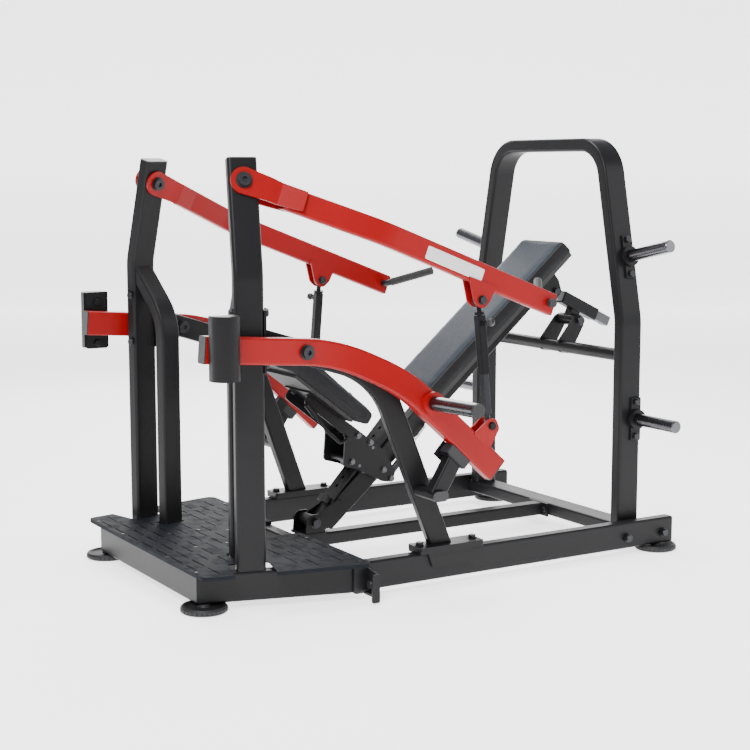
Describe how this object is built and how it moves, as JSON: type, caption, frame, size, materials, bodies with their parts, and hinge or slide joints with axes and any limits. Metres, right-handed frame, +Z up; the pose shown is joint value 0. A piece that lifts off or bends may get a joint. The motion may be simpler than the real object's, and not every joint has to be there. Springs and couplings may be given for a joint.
{
  "type": "plate-loaded incline lever press",
  "caption": "Plate-loaded lever press with an adjustable incline bench, converging arms linked to weight-horn levers, a foot platform and a plate storage arch.",
  "frame": {"origin": "middle of the footprint at floor level", "axes": "+X to the rear, where the storage arch stands; +Y to the right of a person on the bench, who faces -X; +Z up"},
  "size_m": [2.1384, 1.8574, 1.578],
  "materials": {
    "platform_frame": "charcoal satin powder coat with a fine grain",
    "base_rails": "charcoal satin powder coat with a fine grain",
    "anchor_brackets": "charcoal satin powder coat with a fine grain",
    "rear_cross_member": "charcoal satin powder coat with a fine grain",
    "centre_beam": "charcoal satin powder coat with a fine grain",
    "upright_left": "charcoal satin powder coat with a fine grain",
    "upright_right": "charcoal satin powder coat with a fine grain",
    "brace_posts": "charcoal satin powder coat with a fine grain",
    "storage_arch": "charcoal satin powder coat with a fine grain",
    "bench_spine": "charcoal satin powder coat with a fine grain",
    "platform_deck": "dark blue-grey powder coat",
    "arm_support_left": "charcoal satin powder coat with a fine grain",
    "arm_support_right": "charcoal satin powder coat with a fine grain",
    "stop_risers": "charcoal satin powder coat with a fine grain",
    "storage_horn_plates": "charcoal satin powder coat with a fine grain",
    "arch_cross_tube": "charcoal satin powder coat with a fine grain",
    "seat_rack": "charcoal satin powder coat with a fine grain",
    "carriage_plates": "charcoal satin powder coat with a fine grain",
    "strut_outer": "charcoal satin powder coat with a fine grain",
    "arm_stop_rubbers": "black moulded rubber",
    "storage_horns": "dark chrome",
    "frame_end_caps": "black moulded plastic",
    "rubber_feet": "black moulded rubber",
    "frame_bolts": "black oxide steel",
    "pivot_bolts": "black oxide steel",
    "backrest_pad": "charcoal upholstery vinyl",
    "backrest_board": "black painted board",
    "bench_fittings": "dark steel",
    "rack_stop": "black rubber",
    "gas_spring_rod": "polished rod",
    "gas_spring_body": "black painted cylinder",
    "seat_pad": "black upholstery vinyl",
    "seat_board": "black painted board",
    "carriage_fittings": "dark zinc plated steel",
    "release_lever": "charcoal powder coat with a black grip",
    "strut_inner": "dark plated tube",
    "upper_arm_left": "red satin powder coat with a fine grain",
    "upper_fittings_left": "black coated steel",
    "upper_trim_left": "black ribbed rubber grip and moulded caps",
    "lower_arm_left": "red satin powder coat with a fine grain",
    "load_horn_left": "dark chrome",
    "lower_caps_left": "black moulded plastic",
    "counterweight_left": "charcoal satin powder coat with a fine grain",
    "lower_fittings_left": "charcoal plate, black steel bolts",
    "link_ball_left": "polished ball",
    "link_outer_left": "charcoal satin powder coat with a fine grain",
    "link_inner_left": "black coated steel",
    "link_pop_pin_left": "black ball knob on a steel pin",
    "upper_arm_right": "red satin powder coat with a fine grain",
    "upper_fittings_right": "black coated steel",
    "upper_trim_right": "black ribbed rubber grip and moulded caps",
    "lower_arm_right": "red satin powder coat with a fine grain",
    "load_horn_right": "dark chrome",
    "lower_caps_right": "black moulded plastic",
    "counterweight_right": "charcoal satin powder coat with a fine grain",
    "lower_fittings_right": "charcoal plate, black steel bolts",
    "link_ball_right": "polished ball",
    "link_outer_right": "charcoal satin powder coat with a fine grain",
    "link_inner_right": "black coated steel",
    "link_pop_pin_right": "black ball knob on a steel pin"
  },
  "bodies": {
    "frame": {"platform_frame": "platform_frame", "platform_deck": "platform_deck", "base_rails": "base_rails", "anchor_brackets": "anchor_brackets", "rear_cross_member": "rear_cross_member", "centre_beam": "centre_beam", "upright_left": "upright_left", "upright_right": "upright_right", "brace_posts": "brace_posts", "arm_support_left": "arm_support_left", "arm_support_right": "arm_support_right", "stop_risers": "stop_risers", "arm_stop_rubbers": "arm_stop_rubbers", "storage_arch": "storage_arch", "arch_cross_tube": "arch_cross_tube", "storage_horn_plates": "storage_horn_plates", "storage_horns": "storage_horns", "frame_end_caps": "frame_end_caps", "rubber_feet": "rubber_feet", "frame_bolts": "frame_bolts", "pivot_bolts": "pivot_bolts"},
    "bench": {"bench_spine": "bench_spine", "seat_rack": "seat_rack", "backrest_pad": "backrest_pad", "backrest_board": "backrest_board", "bench_fittings": "bench_fittings", "rack_stop": "rack_stop", "gas_spring_rod": "gas_spring_rod"},
    "seat": {"seat_pad": "seat_pad", "seat_board": "seat_board", "carriage_plates": "carriage_plates", "carriage_fittings": "carriage_fittings", "gas_spring_body": "gas_spring_body"},
    "seat_lever": {"release_lever": "release_lever"},
    "strut_tube": {"strut_outer": "strut_outer"},
    "strut_slider": {"strut_inner": "strut_inner"},
    "upper_arm_body_left": {"upper_arm_left": "upper_arm_left", "upper_fittings_left": "upper_fittings_left", "upper_trim_left": "upper_trim_left", "link_ball_left": "link_ball_left"},
    "lower_arm_body_left": {"lower_arm_left": "lower_arm_left", "load_horn_left": "load_horn_left", "lower_caps_left": "lower_caps_left", "counterweight_left": "counterweight_left", "lower_fittings_left": "lower_fittings_left"},
    "link_left": {"link_outer_left": "link_outer_left", "link_inner_left": "link_inner_left"},
    "pop_pin_left": {"link_pop_pin_left": "link_pop_pin_left"},
    "upper_arm_body_right": {"upper_arm_right": "upper_arm_right", "upper_fittings_right": "upper_fittings_right", "upper_trim_right": "upper_trim_right", "link_ball_right": "link_ball_right"},
    "lower_arm_body_right": {"lower_arm_right": "lower_arm_right", "load_horn_right": "load_horn_right", "lower_caps_right": "lower_caps_right", "counterweight_right": "counterweight_right", "lower_fittings_right": "lower_fittings_right"},
    "link_right": {"link_outer_right": "link_outer_right", "link_inner_right": "link_inner_right"},
    "pop_pin_right": {"link_pop_pin_right": "link_pop_pin_right"}
  },
  "joints": [
    {"name": "upper_arm_swing_left", "type": "hinge", "parent": "frame", "child": "upper_arm_body_left", "pos_m": [-0.807, -0.379, 1.415], "axis": [-0.2589, -0.9342, 0.2453], "range_deg": [0, 22]},
    {"name": "lower_arm_swing_left", "type": "hinge", "parent": "frame", "child": "lower_arm_body_left", "pos_m": [-0.659, -0.52, 0.859], "axis": [0, -1, 0], "range_deg": [0, 28.26]},
    {"name": "link_swing_left", "type": "hinge", "parent": "upper_arm_body_left", "child": "link_left", "pos_m": [0.012, -0.571, 1.007], "axis": [0, -1, 0], "range_deg": [-28.21, 0]},
    {"name": "pop_pin_pull_left", "type": "slide", "parent": "link_left", "child": "pop_pin_left", "axis": [-0.0003, -0.9893, 0.1456], "range_m": [0, 0.012], "stiffness_N_per_m": 800, "springref_m": -0.004},
    {"name": "upper_arm_swing_right", "type": "hinge", "parent": "frame", "child": "upper_arm_body_right", "pos_m": [-0.807, 0.379, 1.415], "axis": [0.2589, -0.9342, -0.2453], "range_deg": [0, 22]},
    {"name": "lower_arm_swing_right", "type": "hinge", "parent": "frame", "child": "lower_arm_body_right", "pos_m": [-0.659, 0.52, 0.859], "axis": [0, -1, 0], "range_deg": [0, 28.26]},
    {"name": "link_swing_right", "type": "hinge", "parent": "upper_arm_body_right", "child": "link_right", "pos_m": [0.012, 0.571, 1.007], "axis": [0, -1, 0], "range_deg": [-28.21, 0]},
    {"name": "pop_pin_pull_right", "type": "slide", "parent": "link_right", "child": "pop_pin_right", "axis": [-0.0003, 0.9893, 0.1456], "range_m": [0, 0.012], "stiffness_N_per_m": 800, "springref_m": -0.004},
    {"name": "bench_tilt", "type": "hinge", "parent": "frame", "child": "bench", "pos_m": [-0.356, 0, 0.15], "axis": [0, -1, 0], "range_deg": [0, 5]},
    {"name": "strut_swing", "type": "hinge", "parent": "frame", "child": "strut_tube", "pos_m": [0.869, 0, 0.849], "axis": [0, -1, 0], "range_deg": [-13, 0]},
    {"name": "strut_extend", "type": "slide", "parent": "strut_tube", "child": "strut_slider", "axis": [-0.9039, 0, 0.4277], "range_m": [0, 0.1285]},
    {"name": "seat_slide", "type": "slide", "parent": "bench", "child": "seat", "axis": [0.6794, 0, 0.7337], "range_m": [-0.04, 0.07]},
    {"name": "seat_lever_pull", "type": "hinge", "parent": "seat", "child": "seat_lever", "pos_m": [-0.239, -0.095, 0.465], "axis": [0, -1, 0], "range_deg": [0, 15], "stiffness_Nm_per_rad": 4, "springref_deg": -17.19}
  ],
  "couplings": [
    {"joint": "lower_arm_swing_left", "follows": "upper_arm_swing_left", "ratio": 1.262},
    {"joint": "link_swing_left", "follows": "upper_arm_swing_left", "ratio": -1.2595},
    {"joint": "lower_arm_swing_right", "follows": "upper_arm_swing_right", "ratio": 1.262},
    {"joint": "link_swing_right", "follows": "upper_arm_swing_right", "ratio": -1.2595},
    {"joint": "strut_swing", "follows": "bench_tilt", "ratio": -2.5355},
    {"joint": "strut_extend", "follows": "bench_tilt", "m_per_rad": 1.4611}
  ]
}
